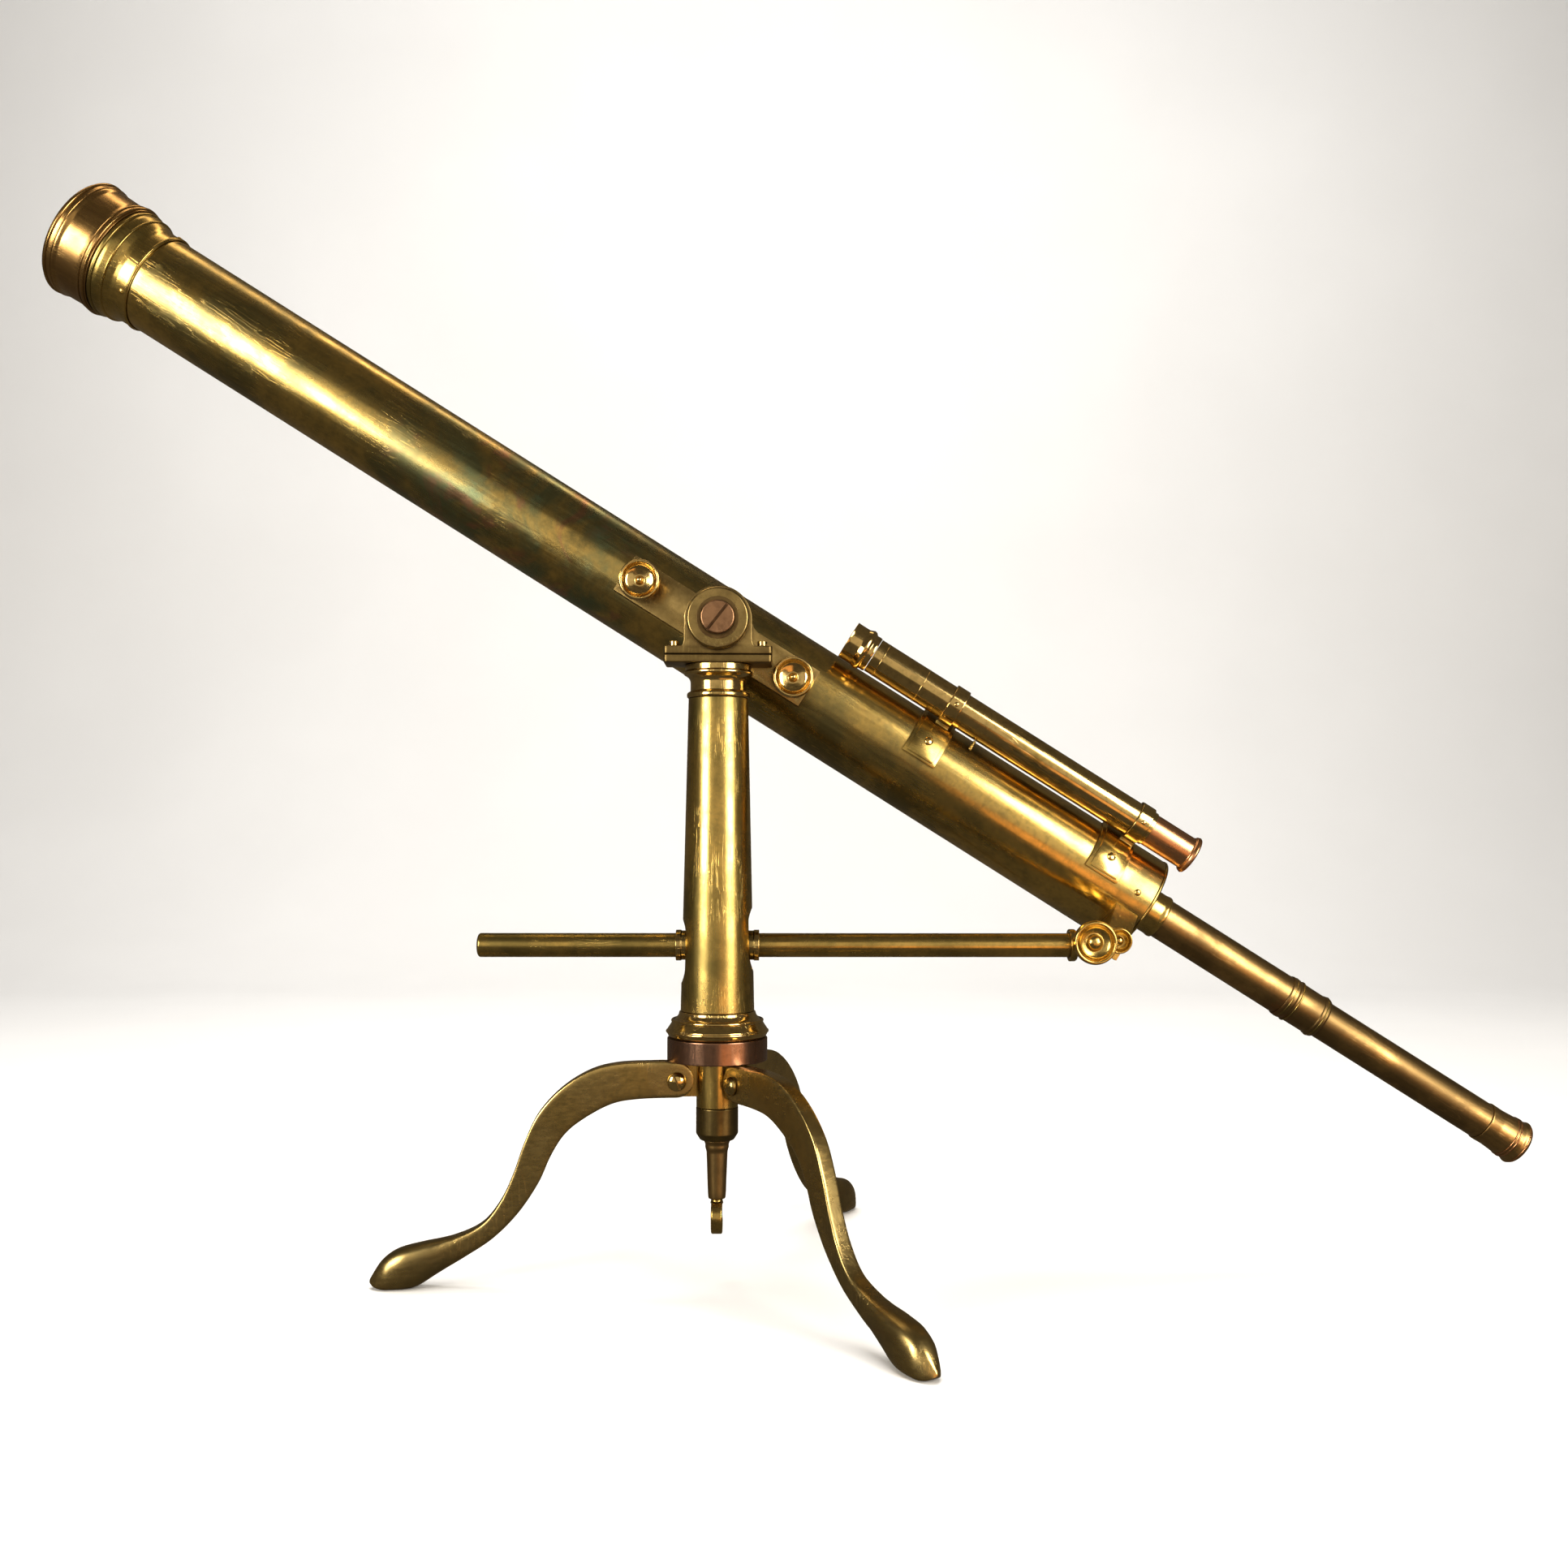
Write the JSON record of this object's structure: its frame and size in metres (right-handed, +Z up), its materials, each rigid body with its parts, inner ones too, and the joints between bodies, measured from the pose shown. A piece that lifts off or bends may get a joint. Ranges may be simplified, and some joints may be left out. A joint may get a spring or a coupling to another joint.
{
  "type": "brass library telescope",
  "caption": "Refracting telescope with draw tubes and a finder, side-mounted on a pillar with a steadying rod, folding cabriole legs and a weight hook.",
  "frame": {"origin": "middle of the footprint box, on the surface the feet stand on", "axes": "+Z up; +X along the instrument towards the eyepiece; -Y is the front, where the trunnion screw and the knobs show"},
  "size_m": [1.2542, 0.4662, 0.9009],
  "materials": {
    "brass": "polished brass with a worn, greenish-brown patina",
    "aged_brass": "satin brass, darkened with age",
    "bronze": "dull reddish bronze",
    "gunmetal": "pinkish gunmetal, smooth",
    "glass": "clear ground glass"
  },
  "bodies": {
    "tripod": {"tripod_hub": "brass", "collar_ring": "gunmetal", "azimuth_spindle": "brass", "hub_nut": "aged_brass", "hook_stem": "aged_brass", "weight_hook": "brass", "leg_screw_left": "brass", "leg_screw_front": "brass", "leg_screw_rear": "brass"},
    "leg_left": {"leg_left": "brass"},
    "leg_front": {"leg_front": "brass"},
    "leg_rear": {"leg_rear": "brass"},
    "pillar": {"base_moulding": "brass", "pillar_tube": "brass", "pillar_capital": "brass", "pillar_top_plate": "aged_brass", "bearing_block": "aged_brass", "block_screw_1": "brass", "block_screw_2": "brass", "block_screw_3": "brass", "block_screw_4": "brass"},
    "telescope": {"trunnion_bar": "aged_brass", "trunnion_disc": "aged_brass", "trunnion_screw": "bronze", "main_tube": "brass", "objective_cell": "brass", "flint_lens": "glass", "crown_lens": "glass", "lens_retaining_ring": "aged_brass", "tail_cap": "brass", "draw_sleeve": "brass", "finder_saddle_front": "brass", "finder_saddle_rear": "brass", "saddle_screw_front": "brass", "saddle_screw_rear": "brass", "finder_collar_front": "brass", "finder_collar_rear": "brass", "finder_tube": "brass", "finder_cell": "brass", "finder_lens": "glass", "finder_pin": "brass", "rod_bracket": "brass", "rod_link": "brass"},
    "dew_cap": {"dew_cap": "brass"},
    "draw_tube": {"draw_tube_1": "aged_brass", "draw_ferrule": "aged_brass"},
    "eyepiece": {"draw_tube_2": "aged_brass", "eyecup": "aged_brass", "eye_lens": "glass", "field_lens": "glass", "erector_lens": "glass"},
    "finder_eyepiece": {"finder_eyepiece_tube": "bronze", "finder_eye_lens": "glass"},
    "steady_rod": {"steady_rod": "brass", "rod_eye": "brass"},
    "rod_guide": {"rod_guide": "brass"},
    "thumb_knob_upper": {"thumb_knob_upper": "brass"},
    "thumb_knob_lower": {"thumb_knob_lower": "brass"},
    "rod_knob_large": {"rod_knob_large": "brass"},
    "rod_knob_small": {"rod_knob_small": "brass"}
  },
  "joints": [
    {"name": "azimuth", "type": "hinge", "parent": "tripod", "child": "pillar", "pos_m": [-0.05794, -0.0078, 0.192], "axis": [0, 0, 1], "continuous": true},
    {"name": "altitude", "type": "hinge", "parent": "pillar", "child": "telescope", "pos_m": [-0.05794, -0.0078, 0.522], "axis": [0, 1, 0], "range_deg": [-25, 6]},
    {"name": "rod_pivot", "type": "hinge", "parent": "telescope", "child": "steady_rod", "pos_m": [0.23866, -0.0078, 0.268], "axis": [0, 1, 0], "range_deg": [-2, 6]},
    {"name": "rod_guide_slide", "type": "slide", "parent": "steady_rod", "child": "rod_guide", "axis": [1, 0, 0], "range_m": [-0.135, 0.035]},
    {"name": "leg_left_fold", "type": "hinge", "parent": "tripod", "child": "leg_left", "pos_m": [-0.08988, -0.0097, 0.158], "axis": [0.0593, -0.9982, 0], "range_deg": [0, 54]},
    {"name": "leg_front_fold", "type": "hinge", "parent": "tripod", "child": "leg_front", "pos_m": [-0.04032, -0.03451, 0.158], "axis": [0.8348, 0.5505, 0], "range_deg": [0, 54]},
    {"name": "leg_rear_fold", "type": "hinge", "parent": "tripod", "child": "leg_rear", "pos_m": [-0.04361, 0.02082, 0.158], "axis": [-0.8942, 0.4478, 0], "range_deg": [0, 54]},
    {"name": "draw_slide", "type": "slide", "parent": "telescope", "child": "draw_tube", "axis": [-0.8462, 0, 0.5329], "range_m": [-0.03, 0.11]},
    {"name": "eyepiece_slide", "type": "slide", "parent": "draw_tube", "child": "eyepiece", "axis": [-0.8462, 0, 0.5329], "range_m": [-0.02, 0.15]},
    {"name": "dew_cap_slide", "type": "slide", "parent": "telescope", "child": "dew_cap", "axis": [-0.8462, 0, 0.5329], "range_m": [0, 0.016]},
    {"name": "finder_focus", "type": "slide", "parent": "telescope", "child": "finder_eyepiece", "axis": [-0.8462, 0, 0.5329], "range_m": [-0.012, 0.03]},
    {"name": "thumb_knob_upper_turn", "type": "hinge", "parent": "telescope", "child": "thumb_knob_upper", "pos_m": [-0.12226, 0.0022, 0.55778], "axis": [0, 1, 0], "continuous": true},
    {"name": "thumb_knob_lower_turn", "type": "hinge", "parent": "telescope", "child": "thumb_knob_lower", "pos_m": [0.00213, 0.0022, 0.47945], "axis": [0, 1, 0], "continuous": true},
    {"name": "rod_knob_large_turn", "type": "hinge", "parent": "telescope", "child": "rod_knob_large", "pos_m": [0.23866, -0.0198, 0.268], "axis": [0, 1, 0], "continuous": true},
    {"name": "rod_knob_small_turn", "type": "hinge", "parent": "telescope", "child": "rod_knob_small", "pos_m": [0.26256, -0.0078, 0.268], "axis": [0, 1, 0], "continuous": true}
  ],
  "couplings": [
    {"joint": "rod_pivot", "follows": "altitude", "ratio": -0.115},
    {"joint": "rod_guide_slide", "follows": "altitude", "m_per_rad": 0.255}
  ]
}
